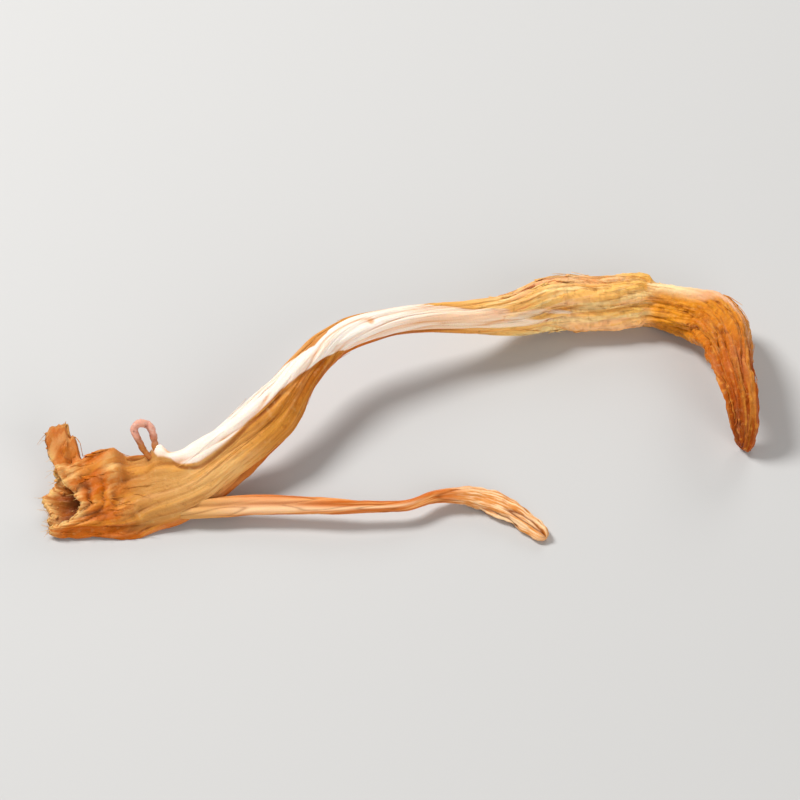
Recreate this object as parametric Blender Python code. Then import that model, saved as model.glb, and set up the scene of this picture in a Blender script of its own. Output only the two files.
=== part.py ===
"""A dried cordyceps lying on a table: one club-shaped growth with its torn foot, white stem, wrinkled
golden club and drooping tip, and the slender strand that grew from the same foot.

Metres, +Z up, the foot to the left.
"""

import math
from collections import namedtuple

import bmesh
import bpy
from mathutils import Vector, noise

MM = 0.001

# Driving dimensions, in metres
FOOT_WIDTH = 6.4 * MM  # the torn foot, across its flat fan
STEM_WIDTH = 2.2 * MM  # the round white stem at its slimmest
CLUB_WIDTH = 3.9 * MM  # the wrinkled club at its fattest
TIP_WIDTH = 2.8 * MM  # the flattened tip that hangs down
STRAND_WIDTH = 1.2 * MM  # the slender strand beside the stem
FOOT_DEPTH = 2.1 * MM  # thickness of the fan
CLUB_DEPTH = 3.5 * MM
RIM_TEETH = 0.75 * MM  # how far the torn rim's teeth stand out
RIM_HOLLOW = 1.7 * MM  # how deep the rim is hollow
NUB_HEIGHT = 2.4 * MM  # the scrap of rim that stands up at the back of the foot
NUB_FADE = (1, 0.85, 0.6, 0.3, 0.1)  # how much of the scrap and teeth each of the first sections has
LUMP_SPACING = 2.6 * MM  # low lumps all over the growth
LUMP_SHARE = 0.10  # their height, as a share of the growth's half width

SIDES = 24  # points around the main growth
RINGS = 124  # sections along it
STRAND_SIDES = 10
STRAND_RINGS = 64
STALK_END = 0.975  # where along the main growth its tip begins to round off
STRAND_END = 0.96  # the same, on the strand
CROWDING = 1.15  # over 1, the sections crowd together towards the tip
AHEAD = 0.002  # how far along the growth its direction is measured

# Two rings inside the rim: the share of the way in to the middle, and the share of the hollow's depth
HOLLOW_LIP = (0.30, 0.3)
HOLLOW_FLOOR = (0.55, 0.8)

# A section of a growth: its centre in millimetres, its width and depth in metres,
# the turn of its width above the horizontal in degrees, and how deep its long wrinkles are.
Section = namedtuple("Section", "x y z width depth turn wrinkle")

MAIN_SECTIONS = (
    Section(-24.95, -9.35, 1.6, 0.80 * FOOT_WIDTH, 0.85 * FOOT_DEPTH, 25, 0.13),  # torn rim
    Section(-22.25, -9.4, 1.4, 0.87 * FOOT_WIDTH, FOOT_DEPTH, 24, 0.13),
    Section(-18.65, -8.8, 1.4, FOOT_WIDTH, FOOT_DEPTH, 25, 0.12),
    Section(-15.25, -8.49, 1.76, 0.71 * FOOT_WIDTH, FOOT_DEPTH, 28, 0.12),
    Section(-11.94, -6.14, 2.64, 0.615 * FOOT_WIDTH, FOOT_DEPTH, 33, 0.11),
    Section(-9.32, -3.79, 3.62, 0.58 * FOOT_WIDTH, FOOT_DEPTH, 38, 0.10),
    Section(-6.95, 0.0, 4.4, 1.20 * STEM_WIDTH, 0.95 * FOOT_DEPTH, 34, 0.09),  # the stem leaves the foot
    Section(-4.85, 2.9, 4.7, 1.05 * STEM_WIDTH, 0.96 * STEM_WIDTH, 22, 0.08),
    Section(-1.85, 4.8, 4.65, STEM_WIDTH, 0.94 * STEM_WIDTH, 8, 0.08),
    Section(1.75, 6.1, 4.15, 0.92 * STEM_WIDTH, 0.90 * STEM_WIDTH, 0, 0.08),
    Section(5.35, 7.0, 3.4, 1.18 * STEM_WIDTH, 1.10 * STEM_WIDTH, 0, 0.11),
    Section(8.35, 8.15, 2.65, 0.81 * CLUB_WIDTH, 0.82 * CLUB_DEPTH, 0, 0.15),  # the club begins
    Section(11.35, 9.7, 2.1, 0.94 * CLUB_WIDTH, 0.95 * CLUB_DEPTH, 4, 0.18),
    Section(14.95, 10.1, 1.85, CLUB_WIDTH, CLUB_DEPTH, 8, 0.20),
    Section(18.55, 10.2, 1.9, 0.98 * CLUB_WIDTH, 0.98 * CLUB_DEPTH, 6, 0.20),
    Section(22.15, 7.9, 2.5, 1.02 * CLUB_WIDTH, 0.97 * CLUB_DEPTH, 0, 0.20),
    Section(23.55, 4.6, 3.7, 0.95 * CLUB_WIDTH, 0.84 * CLUB_DEPTH, -8, 0.20),  # the bend
    Section(24.05, 0.4, 4.3, 1.07 * TIP_WIDTH, 0.93 * TIP_WIDTH, -12, 0.20),
    Section(24.55, -1.9, 3.2, 0.82 * TIP_WIDTH, 0.75 * TIP_WIDTH, -10, 0.20),
    Section(24.75, -3.0, 1.4, 0.68 * TIP_WIDTH, 0.64 * TIP_WIDTH, -6, 0.18),
    Section(24.75, -3.3, 0.05, 0.50 * TIP_WIDTH, 0.46 * TIP_WIDTH, 0, 0.12),  # end of the tip
)

STRAND_SECTIONS = (
    Section(-13.25, -10.95, 0.75, 1.15 * STRAND_WIDTH, 0.95 * STRAND_WIDTH, 20, 0.10),  # beside the foot
    Section(-11.15, -9.9, 1.15, 1.15 * STRAND_WIDTH, 0.8 * STRAND_WIDTH, 30, 0.10),
    Section(-7.55, -10.0, 1.3, 1.1 * STRAND_WIDTH, 0.75 * STRAND_WIDTH, 30, 0.10),
    Section(-3.35, -10.2, 1.4, 0.8 * STRAND_WIDTH, 0.7 * STRAND_WIDTH, 20, 0.10),
    Section(0.25, -10.0, 1.3, 0.65 * STRAND_WIDTH, 0.6 * STRAND_WIDTH, 0, 0.10),
    Section(2.65, -8.9, 1.1, 0.8 * STRAND_WIDTH, 0.75 * STRAND_WIDTH, -10, 0.12),
    Section(5.25, -8.6, 0.75, 1.25 * STRAND_WIDTH, 0.92 * STRAND_WIDTH, 0, 0.16),  # its shrivelled end widens
    Section(7.45, -9.5, 0.6, 1.4 * STRAND_WIDTH, 0.92 * STRAND_WIDTH, 0, 0.16),
    Section(9.25, -11.1, 0.45, 1.15 * STRAND_WIDTH, 0.8 * STRAND_WIDTH, 0, 0.16),
    Section(10.25, -12.3, 0.4, 0.75 * STRAND_WIDTH, 0.65 * STRAND_WIDTH, 0, 0.12),
)


def smooth_between(before, start, end, after, share):
    """Catmull-Rom curve from start to end, for one number."""
    return 0.5 * (
        2 * start
        + (end - before) * share
        + (2 * before - 5 * start + 4 * end - after) * share**2
        + (3 * start - before - 3 * end + after) * share**3
    )


def section_at(sections, along):
    """The section a share of the way along a growth, from 0 at its foot to 1 at its tip."""
    place = min(along, 1 - 1e-9) * (len(sections) - 1)
    index = int(place)
    near = [sections[min(max(index + step, 0), len(sections) - 1)] for step in (-1, 0, 1, 2)]
    return Section(*(smooth_between(*numbers, place - index) for numbers in zip(*near)))


def wrinkles(angle, along):
    """Long rounded folds with narrow grooves between them, from about -1 to 1, which wander round it."""
    wander = 1.1 * math.sin(7 * along + 0.5) + 0.5 * math.sin(17 * along)
    folds = 2 * abs(math.cos(2.5 * angle + wander)) - 1
    return 0.62 * folds + 0.38 * math.cos(3 * angle - 2.1 + 5 * along)


def rounded_end(along, begins):
    """Takes the size of a section smoothly to nothing between begins and the tip."""
    share = max(0, (along - begins) / (1 - begins))
    return math.sqrt(max(0, 1 - share**2))


def ring_points(section, direction, sides, along, end_size):
    """The outline of one section, in metres."""
    side = Vector((0, 0, 1)).cross(direction).normalized()
    up = direction.cross(side)
    turn = math.radians(section.turn)
    across = math.cos(turn) * side + math.sin(turn) * up
    outward = math.cos(turn) * up - math.sin(turn) * side
    centre = Vector((section.x, section.y, section.z)) * MM
    points = []
    for number in range(sides):
        angle = math.tau * number / sides
        outline = (
            section.width / 2 * math.cos(angle) * across + section.depth / 2 * math.sin(angle) * outward
        )
        lump = LUMP_SHARE * noise.noise((centre + outline) / LUMP_SPACING)
        fold = section.wrinkle * wrinkles(angle, along)
        points.append(centre + outline * (1 + fold + lump) * end_size)
    return points


def growth_rings(sections, rings, sides, end_begins):
    """Outlines from the foot to just before the tip, and the tip's own point."""
    found = []
    for number in range(rings):
        along = 1 - (1 - number / rings) ** CROWDING
        here = section_at(sections, along)
        ahead = section_at(sections, along + AHEAD)
        direction = Vector((ahead.x - here.x, ahead.y - here.y, ahead.z - here.z)).normalized()
        found.append(ring_points(here, direction, sides, along, rounded_end(along, end_begins)))
    end = section_at(sections, 1)
    return found, Vector((end.x, end.y, end.z)) * MM


def tear_rim(rings):
    """Makes the first rings a torn rim with teeth, a scrap standing up at its back and a hollow inside."""
    rim = rings[0]
    middle = sum(rim, Vector()) / len(rim)
    inward = (sum(rings[1], Vector()) / len(rim) - middle).normalized()
    for step, share in enumerate(NUB_FADE):
        for number, point in enumerate(rings[step]):
            angle = math.tau * number / len(rim)
            outward = (point - middle).normalized()
            tooth = 0.6 * math.sin(3 * angle + 0.4) + 0.4 * math.sin(7 * angle)
            nub = math.exp(-7 * (1 - math.cos(angle - 0.3)))
            rings[step][number] = point + share * (NUB_HEIGHT * nub * outward - RIM_TEETH * tooth * inward)
    inner = [
        [point.lerp(middle, share) + depth * RIM_HOLLOW * inward for point in rim]
        for share, depth in (HOLLOW_FLOOR, HOLLOW_LIP)
    ]
    return inner + rings, middle + RIM_HOLLOW * inward


def loft(rings, start, end):
    """A closed mesh through the rings, closed at each end by a fan of faces to a point."""
    bm = bmesh.new()
    loops = [[bm.verts.new(point) for point in ring] for ring in rings]
    first, last = bm.verts.new(start), bm.verts.new(end)
    sides = len(rings[0])
    for number in range(sides):
        following = (number + 1) % sides
        bm.faces.new((first, loops[0][following], loops[0][number]))
        bm.faces.new((last, loops[-1][number], loops[-1][following]))
        for lower, upper in zip(loops, loops[1:]):
            bm.faces.new((lower[number], lower[following], upper[following], upper[number]))
    bmesh.ops.recalc_face_normals(bm, faces=bm.faces)
    return bm


def flatten_underside(bm):
    """Cuts off what lies below the table and closes each cut with a flat face."""
    cut = bmesh.ops.bisect_plane(
        bm,
        geom=bm.verts[:] + bm.edges[:] + bm.faces[:],
        dist=1e-7,
        plane_co=(0, 0, 0),
        plane_no=(0, 0, -1),
        clear_outer=True,
    )
    edges = [piece for piece in cut["geom_cut"] if isinstance(piece, bmesh.types.BMEdge)]
    bmesh.ops.holes_fill(bm, edges=edges, sides=0)
    bmesh.ops.recalc_face_normals(bm, faces=bm.faces)


def material(name, colour, roughness):
    made = bpy.data.materials.new(name)
    made.use_nodes = True
    shader = made.node_tree.nodes["Principled BSDF"]
    shader.inputs["Base Color"].default_value = (*colour, 1)
    shader.inputs["Roughness"].default_value = roughness
    shader.inputs["Metallic"].default_value = 0
    return made


def add_object(name, bm, finish, collection):
    mesh = bpy.data.meshes.new(name)
    bm.to_mesh(mesh)
    bm.free()
    mesh.shade_smooth()
    mesh.materials.append(finish)
    made = bpy.data.objects.new(name, mesh)
    collection.objects.link(made)
    return made


def build_main_stalk(collection):
    rings, end = growth_rings(MAIN_SECTIONS, RINGS, SIDES, STALK_END)
    rings, start = tear_rim(rings)
    bm = loft(rings, start, end)
    flatten_underside(bm)
    return add_object("main_stalk", bm, material("dried_flesh", (0.62, 0.29, 0.07), 0.5), collection)


def build_side_strand(collection):
    rings, end = growth_rings(STRAND_SECTIONS, STRAND_RINGS, STRAND_SIDES, STRAND_END)
    first = STRAND_SECTIONS[0]
    bm = loft(rings, Vector((first.x, first.y, first.z)) * MM, end)
    flatten_underside(bm)
    return add_object("side_strand", bm, material("dried_strand", (0.66, 0.27, 0.06), 0.5), collection)


def stand_on_origin(objects):
    """Moves the pieces together so that the middle of their box's base is the origin."""
    corners = [vertex.co for made in objects for vertex in made.data.vertices]
    low = Vector(min(corner[axis] for corner in corners) for axis in range(3))
    high = Vector(max(corner[axis] for corner in corners) for axis in range(3))
    shift = Vector(((low.x + high.x) / 2, (low.y + high.y) / 2, low.z))
    for made in objects:
        for vertex in made.data.vertices:
            vertex.co -= shift


def main():
    for old in list(bpy.data.objects):
        bpy.data.objects.remove(old)
    collection = bpy.data.collections.new("dried_cordyceps")
    bpy.context.scene.collection.children.link(collection)
    stand_on_origin([build_main_stalk(collection), build_side_strand(collection)])


main()
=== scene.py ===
import math

import bpy
import numpy as np
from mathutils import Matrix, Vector, kdtree, noise


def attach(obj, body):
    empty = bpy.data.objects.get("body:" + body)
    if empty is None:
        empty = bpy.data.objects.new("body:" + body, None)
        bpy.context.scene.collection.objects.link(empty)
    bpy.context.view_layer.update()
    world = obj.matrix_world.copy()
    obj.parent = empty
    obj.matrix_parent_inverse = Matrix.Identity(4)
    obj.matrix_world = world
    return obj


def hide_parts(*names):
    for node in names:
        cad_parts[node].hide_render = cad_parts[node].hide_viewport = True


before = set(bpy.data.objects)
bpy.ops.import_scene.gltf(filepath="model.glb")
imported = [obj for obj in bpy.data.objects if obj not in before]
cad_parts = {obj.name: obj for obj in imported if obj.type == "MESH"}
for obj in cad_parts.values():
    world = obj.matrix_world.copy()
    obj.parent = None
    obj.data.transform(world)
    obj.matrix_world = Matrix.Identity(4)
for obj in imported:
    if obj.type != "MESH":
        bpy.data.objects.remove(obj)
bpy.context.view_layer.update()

mm = 0.001

# The stalk's sections from its torn foot to its tip: centre x, y and z, width and depth in millimetres,
# turn of the width above the horizontal in degrees, and the depth of the long folds as a share of the width.
# Below, a place is a number in such a list, from 0, and an angle goes round the growth in radians.
stalkSections = [
    (-24.95, -9.35, 1.6, 5.12, 1.79, 25, 0.13),
    (-22.25, -9.4, 1.4, 5.57, 2.1, 24, 0.13),
    (-18.65, -8.8, 1.4, 6.4, 2.1, 25, 0.12),
    (-15.25, -8.49, 1.76, 4.54, 2.1, 28, 0.12),
    (-11.94, -6.14, 2.64, 3.94, 2.1, 33, 0.11),
    (-9.32, -3.79, 3.62, 3.71, 2.1, 38, 0.10),
    (-6.95, 0.0, 4.4, 2.64, 2.0, 34, 0.09),    # 6: the stem leaves the foot
    (-4.85, 2.9, 4.7, 2.31, 2.11, 22, 0.08),
    (-1.85, 4.8, 4.65, 2.2, 2.07, 8, 0.08),
    (1.75, 6.1, 4.15, 2.02, 1.98, 0, 0.08),
    (5.35, 7.0, 3.4, 2.6, 2.42, 0, 0.11),      # 10
    (8.35, 8.15, 2.65, 3.16, 2.87, 0, 0.15),   # 11: the club begins
    (11.35, 9.7, 2.1, 3.67, 3.33, 4, 0.18),
    (14.95, 10.1, 1.85, 3.9, 3.5, 8, 0.20),
    (18.55, 10.2, 1.9, 3.82, 3.43, 6, 0.20),
    (22.15, 7.9, 2.5, 3.98, 3.4, 0, 0.20),
    (23.55, 4.6, 3.7, 3.7, 2.94, -8, 0.20),    # 16: the bend
    (24.05, 0.4, 4.3, 3.0, 2.6, -12, 0.20),
    (24.55, -1.9, 3.2, 2.3, 2.1, -10, 0.20),
    (24.75, -3.0, 1.4, 1.9, 1.8, -6, 0.18),
    (24.75, -3.3, 0.05, 1.4, 1.3, 0, 0.12),    # 20: end of the tip
]
lastPlace = len(stalkSections) - 1
sectionSpacing = 3.1     # millimetres between two sections, about
seamGap = 2e-6           # points that are nearer, in metres, are welded
seedShift = (31.7, 7.3)  # how far each seed of the streaks moves in its noise

# The strand's sections, from its root inside the foot to its shrivelled end
strandSections = [
    (-20.55, -9.7, 0.8, 0.9, 0.5, 25, 0.10),
    (-17.35, -9.85, 0.9, 1.4, 0.8, 25, 0.10),
    (-14.35, -10.1, 1.1, 1.45, 0.95, 25, 0.10),  # 2: it comes out of the foot's lower edge
    (-11.15, -9.9, 1.15, 1.38, 0.96, 30, 0.10),
    (-7.55, -10.0, 1.3, 1.32, 0.9, 30, 0.10),
    (-3.35, -10.2, 1.4, 0.96, 0.84, 20, 0.10),
    (0.25, -10.0, 1.3, 0.78, 0.72, 0, 0.10),
    (2.65, -8.9, 1.1, 0.96, 0.9, -10, 0.12),
    (5.25, -8.6, 0.75, 1.5, 1.1, 0, 0.16),       # 8: its shrivelled end
    (7.45, -9.5, 0.6, 1.68, 1.1, 0, 0.16),
    (9.25, -11.1, 0.45, 1.38, 0.96, 0, 0.16),
    (10.25, -12.3, 0.4, 0.9, 0.78, 0, 0.12),
]


def report(stage):
    print("cordyceps:", stage)


# Adds a primitive with nothing else selected
def startFrom(primitive, **sizes):
    bpy.ops.object.select_all(action="DESELECT")
    primitive(**sizes)
    return bpy.context.object


def selectOnly(piece):
    bpy.ops.object.select_all(action="DESELECT")
    piece.select_set(True)
    bpy.context.view_layer.objects.active = piece


# From 0 at the start to 1 at the end
def smoothStep(value, start, end):
    share = np.clip((value - start) / (end - start), 0, 1)
    return share * share * (3 - 2 * share)


def hump(value, centre, width):
    return np.exp(-((value - centre) / width) ** 2)


# 1 at one angle round the growth, falling off on both sides
def aroundHump(angle, centre, tightness):
    return np.exp(-tightness * (1 - np.cos(angle - centre)))


# Turn from one angle to another, at most half round
def turnFrom(angle, centre):
    return (angle - centre + math.pi) % math.tau - math.pi


# 1 along a stretch of the growth, given by the places where it begins, is full, fades and ends
def stretch(place, begins, full, fades, ends):
    return smoothStep(place, begins, full) * (1 - smoothStep(place, fades, ends))


# A patch of skin: its place, its length in sections, its angle and its tightness
def patch(angle, place, middle, length, centre, tightness):
    return hump(place, middle, length) * aroundHump(angle, centre, tightness)


# Noise from -1 to 1 at each point
def noiseAt(points):
    return np.array([noise.noise(point) for point in points.tolist()])


# Noise in streaks along the growth, from the cells round it, a streak's length and a seed
def streakNoise(angle, distance, cells, length, seed):
    across, up = np.cos(angle) * cells, np.sin(angle) * cells + seedShift[0] * seed
    return noiseAt(np.stack([across, up, distance / length + seedShift[1] * seed], 1))


# 1 on rounded ridges and 0 in the narrow grooves between them
def ridges(value, sharpness):
    return np.clip(np.abs(value) * sharpness, 0, 1) ** 0.6


# 1 at the middle of small rounded pimples and 0 between them
def pimplesAt(points):
    away = np.array([noise.voronoi(point)[0][0] for point in points.tolist()])
    return np.clip(1 - 1.5 * away, 0, 1)


def unit(vectors):
    return vectors / np.maximum(np.linalg.norm(vectors, axis=1), 1e-12)[:, None]


# Smooth curve through the sections, at an array of shares of the way along
def sectionsAt(sections, along):
    table = np.array(sections, float)
    place = np.clip(along, 0, 1 - 1e-9) * (len(table) - 1)
    index = place.astype(int)
    share = (place - index)[:, None]
    before, start, end, after = (table[np.clip(index + step, 0, len(table) - 1)] for step in (-1, 0, 1, 2))
    return 0.5 * (
        2 * start
        + (end - before) * share
        + (2 * before - 5 * start + 4 * end - after) * share**2
        + (3 * start - before - 3 * end + after) * share**3
    )


# Direction of growth and the section's two axes, at shares of the way along
def growthFrame(sections, along):
    lookAhead = 0.002
    along = np.clip(along, 0, 1 - 1.25 * lookAhead)
    here = sectionsAt(sections, along)
    ahead = sectionsAt(sections, along + lookAhead)
    direction = unit(ahead[:, :3] - here[:, :3])
    side = unit(np.cross((0, 0, 1), direction))
    up = np.cross(direction, side)
    turn = np.radians(here[:, 5])[:, None]
    return direction, np.cos(turn) * side + np.sin(turn) * up, np.cos(turn) * up - np.sin(turn) * side


# Length in millimetres up to evenly spaced shares of the way along
def growthLength(sections, samples=1500):
    shares = np.linspace(0, 1, samples)
    centres = sectionsAt(sections, shares)[:, :3]
    steps = np.linalg.norm(np.diff(centres, axis=0), axis=1)
    return shares, np.concatenate([[0], np.cumsum(steps)])


# The long rounded folds of the dried growth
def longFolds(angle, along):
    wander = 1.1 * np.sin(7 * along + 0.5) + 0.5 * np.sin(17 * along)
    return 0.62 * (2 * np.abs(np.cos(2.5 * angle + wander)) - 1) + 0.38 * np.cos(3 * angle - 2.1 + 5 * along)


# The growth before its relief: centre, outline round it, way out of the skin, and size as a share of the
# outline. The last value moves the centre, where the skin begins in front of the first section.
def plainGrowth(piece, sections, along, angle, moved=0.0):
    section = sectionsAt(sections, along)
    direction, across, outward = growthFrame(sections, along)
    halfWidth, halfDepth = section[:, 3] / 2, section[:, 4] / 2
    cosine, sine = np.cos(angle), np.sin(angle)
    centre = section[:, :3] + direction * moved
    outline = across * (halfWidth * cosine)[:, None] + outward * (halfDepth * sine)[:, None]
    normal = unit(across * (cosine / halfWidth)[:, None] + outward * (sine / halfDepth)[:, None])
    lump = piece["lumps"] * noiseAt((centre + outline) / piece["lumpSpacing"])
    rounding = np.clip((along - piece["endBegins"]) / (1 - piece["endBegins"]), 0, 1)
    size = (1 + section[:, 6] * longFolds(angle, along) + lump) * np.sqrt(1 - rounding**2)
    return centre, outline, normal, size


# A flat sheet to be rolled into a tube, and the ring and the side of each of its points
def tubeBlank(name, sides, rings):
    tube = startFrom(bpy.ops.mesh.primitive_grid_add, x_subdivisions=sides, y_subdivisions=rings - 1, size=2)
    tube.name = tube.data.name = name
    places = np.empty(len(tube.data.vertices) * 3)
    tube.data.vertices.foreach_get("co", places)
    places = places.reshape(-1, 3)
    side = np.rint((places[:, 0] + 1) / 2 * sides).astype(int) % sides
    ring = np.rint((places[:, 1] + 1) / 2 * (rings - 1)).astype(int)
    return tube, ring, side


# Moves a blank's points to places in millimetres, which are first brought above the floor
def moveTo(piece, places):
    places[:, 2] = np.maximum(places[:, 2], 0)
    piece.data.vertices.foreach_set("co", (places * mm).ravel())
    piece.data.update()


# Welds points nearer than a gap in metres, turns the faces outwards and smooths the shading
def closeSkin(piece, gap):
    selectOnly(piece)
    bpy.ops.object.mode_set(mode="EDIT")
    bpy.ops.mesh.select_all(action="SELECT")
    bpy.ops.mesh.remove_doubles(threshold=gap)
    bpy.ops.mesh.normals_make_consistent(inside=False)
    bpy.ops.object.mode_set(mode="OBJECT")
    bpy.ops.object.shade_smooth()


def addMask(piece, name, values):
    layer = piece.data.attributes.new(name, "FLOAT", "POINT")
    layer.data.foreach_set("value", np.clip(values, 0, 1).astype(np.float32))


# Coordinates that follow the growth, for the fibres of the finish
def addFlow(piece, angle, distance, radius):
    layer = piece.data.attributes.new("flow", "FLOAT_VECTOR", "POINT")
    flow = np.stack([np.cos(angle) * radius, np.sin(angle) * radius, distance], 1)
    layer.data.foreach_set("vector", flow.astype(np.float32).ravel())


# The main stalk; sizes are in millimetres
stalk = {
    "sides": 240,
    "rings": 405,
    "hollowRings": 34,        # rings inside the torn rim
    "hollowDepth": 3.4,
    "wall": 0.32,             # thickness of the torn rim
    "tearDepth": 2.4,         # how far the upper wall is torn back
    "tearAngle": 1.95,
    "tearFades": 7,           # how far up the growth the tear still moves the skin
    "teeth": 0.5,
    "frayed": 0.28,
    "earHeight": 2.7,         # scrap of rim that stands up at the back
    "earAngle": 0.15,
    "earWidth": 0.34,
    "earDistances": (0, 0.4, 1.0, 1.35, 1.5, 2.1, 2.3, 2.5),
    "earShares": (0.8, 0.97, 1.0, 0.88, 0.68, 0.7, 0.5, 0),      # of its height, at those distances
    "crowding": 1.15,         # over 1, the rings crowd together towards the tip
    "endBegins": 0.975,       # share of the way along where the tip begins to round off
    "lumpSpacing": 2.6,
    "lumps": 0.10,            # as a share of the half width
    "pimpleSpacing": 0.42,
    "pimples": 0.075,
    "slimBelow": 0.8,         # half measure of a section under which its relief gets weaker
    "flowRadius": 2.0,
    "streaks": {
        # cells round the growth, length of a streak, seed
        "creases": (1.8, 8, 1),
        "wrinkles": (4.0, 4.5, 2),
        "fibres": (10, 3.2, 3),
        "buckles": (1.6, 0.75, 4),
        "ivoryEdge": (3.2, 4, 5),
        "rimFolds": (1.5, 3.5, 6),
        "layerEdge": (2.2, 30, 7),
    },
    "depthPlaces": (0, 2, 5, 7, 9.5, 11, 13, 15, 17, 20),
    "depths": {
        # how strong each kind of relief is at those places
        "creases": (0.24, 0.12, 0.09, 0.09, 0.07, 0.14, 0.20, 0.20, 0.30, 0.22),
        "wrinkles": (0.11, 0.06, 0.05, 0.04, 0.035, 0.10, 0.14, 0.11, 0.14, 0.11),
        "fibres": (0.035, 0.022, 0.022, 0.014, 0.014, 0.035, 0.045, 0.04, 0.035, 0.03),
        "crumple": (0.18, 0.08, 0.04, 0.02, 0.02, 0.04, 0.06, 0.10, 0.16, 0.14),
    },
    "bumps": {
        # place, length in sections, angle, tightness, height
        "footHump": (1.5, 0.32, 0.45, 5, 0.4),
        "stripStart": (2.7, 0.32, 0.3, 4, 0.38),
        "knot": (7.86, 0.1, 1.75, 14, -0.1),
        "bendCorner": (15.35, 0.5, 0.25, 3, 0.5),
        "dent": (16.25, 0.14, 2.0, 24, -0.16),
    },
    "rolls": {
        # places where it begins, is full, fades and ends, angle, tightness, height
        "threadDip": (1.7, 1.95, 2.15, 2.5, 0.4, 2.6, -0.95),
        "upperRoll": (10.2, 11, 13.2, 13.8, 1.0, 40, 0.10),
        "lowerRoll": (11.6, 12.4, 13.8, 14.4, 3.3, 26, 0.14),
        "flatTop": (13.86, 14.0, 14.5, 15.2, 0.6, 2.5, -0.65),
    },
    "ridgePlaces": (13.9, 14.7, 15.3, 15.8, 16.5),     # rolled ridge that runs round the bend
    "ridgeAngles": (1.3, 1.25, 1.15, 0.95, 0.8),
    "ivoryEdges": [
        # place, and the angles of the white strip's back and front edges
        (2.3, 0.3, 0.55), (2.5, 0.15, 0.82), (2.72, 0.07, 0.76), (2.95, 0.0, 0.76), (3.1, 0.0, 0.93),
        (3.4, -0.08, 1.22), (3.65, -0.12, 1.22), (4.1, -0.2, 1.16), (4.6, -0.15, 1.0), (5.4, 0.05, 1.08),
        (5.85, 0.3, 1.38), (6.1, 0.5, 1.6), (6.3, 0.8, 1.8), (6.5, 1.0, 2.0), (6.9, 1.0, 2.5),
        (7.3, 0.5, 3.2), (8.6, 0.5, 3.4), (9.2, 1.5, 3.45), (9.7, 1.8, 3.35), (10.7, 2.1, 3.1),
        (11.4, 2.4, 3.1), (12.4, 2.7, 2.9),
    ],
    # pale patches on the foot, partly its own colour and partly painted highlights
    "paleAndHighlightPatches": [
        # place, length in sections, angle, tightness, strength
        (1.6, 0.16, 0.95, 30, 1.0),
        (0.75, 0.16, 1.5, 16, 0.7),
        (6.1, 0.6, 0.45, 4, 0.7),
    ],
    # a painted highlight on the foot's flank: place, length in sections, angle, tightness
    "flankHighlight": (3.65, 0.65, 2.1, 8),
}


# How far the torn rim is pushed up the growth at each angle, in millimetres
def rimRecess(angle):
    tooth = 0.6 * np.sin(3 * angle + 0.4) + 0.4 * np.sin(7 * angle)
    ring = np.stack([np.cos(angle), np.sin(angle), np.full_like(angle, 4.2)], 1)
    frayed = noiseAt(ring * 3.1) + 0.6 * noiseAt(ring * 7.7) + 0.35 * noiseAt(ring * 19)
    torn = aroundHump(angle, stalk["tearAngle"], 4) - 0.16 * aroundHump(angle, stalk["earAngle"], 12)
    return stalk["tearDepth"] * torn + stalk["teeth"] * (0.6 - tooth) * (1 - torn) + stalk["frayed"] * frayed


# For each ring: is it inside the rim, the hollow's width there, from 0 to 1, and its distance from the rim
def stalkRings(ring, shares, lengths):
    hollow = stalk["hollowRings"]
    inside = ring < hollow
    bowl = np.clip(ring / hollow, 0, 1) * math.pi / 2
    outer = np.clip((ring - hollow) / (stalk["rings"] - 1 - hollow), 0, 1)
    outerDistance = np.interp(1 - (1 - outer) ** stalk["crowding"], shares, lengths)
    return inside, np.sin(bowl), np.where(inside, stalk["hollowDepth"] * np.cos(bowl), outerDistance)


def ivoryEdges(place):
    places, back, front = np.array(stalk["ivoryEdges"]).T
    return np.interp(place, places, back), np.interp(place, places, front)


def ivoryMask(angle, place, distance):
    back, front = ivoryEdges(place)
    half = (front - back) / 2
    streaks = streakNoise(angle, distance, *stalk["streaks"]["ivoryEdge"])
    away = np.abs(turnFrom(angle, (back + front) / 2)) + 0.1 * streaks
    ends = smoothStep(place, 2.25, 2.45) * (1 - smoothStep(place + 1.6 * streaks, 10.6, 12.2))
    return (1 - smoothStep(away, half - 0.16, half + 0.12)) * ends


# Creases, wrinkles and fibres that run along the growth, and how deep in a groove each point is
def fineRelief(angle, place, distance, crumple):
    streaks = stalk["streaks"]
    depth = {kind: np.interp(place, stalk["depthPlaces"], depths) for kind, depths in stalk["depths"].items()}
    crease = ridges(streakNoise(angle, distance, *streaks["creases"]), 3.2)
    wrinkle = ridges(streakNoise(angle, distance, *streaks["wrinkles"]), 2.6)
    relief = (
        depth["creases"] * (crease - 0.8)
        + depth["wrinkles"] * (wrinkle - 0.75)
        + depth["fibres"] * streakNoise(angle, distance, *streaks["fibres"])
        + depth["crumple"] * crumple
    )
    return relief, 1 - np.clip(0.62 * crease + 0.38 * wrinkle, 0, 1)


# Diagonal folds behind the torn rim, and the fold between the foot's upper and lower faces
def footRelief(angle, place, distance, marks):
    slanted = ridges(streakNoise(angle + 0.32 * distance, distance, *stalk["streaks"]["rimFolds"]), 2.6)
    behindRim = patch(angle, place, 1.0, 0.75, 1.6, 1.2)
    # fold tops get a painted highlight and fold grooves get painted shade
    marks["foldTops"] = behindRim * smoothStep(slanted, 0.8, 1)
    marks["foldGrooveShade"] = (1.1 - slanted) * behindRim
    foldAngle = 2.75 + 0.12 * np.sin(distance * 0.9)
    facesMeet = aroundHump(angle, foldAngle, 60) * stretch(place, 0.3, 1.2, 3.6, 4.8)
    return 0.45 * (slanted - 0.75) * behindRim - 0.2 * facesMeet


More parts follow.
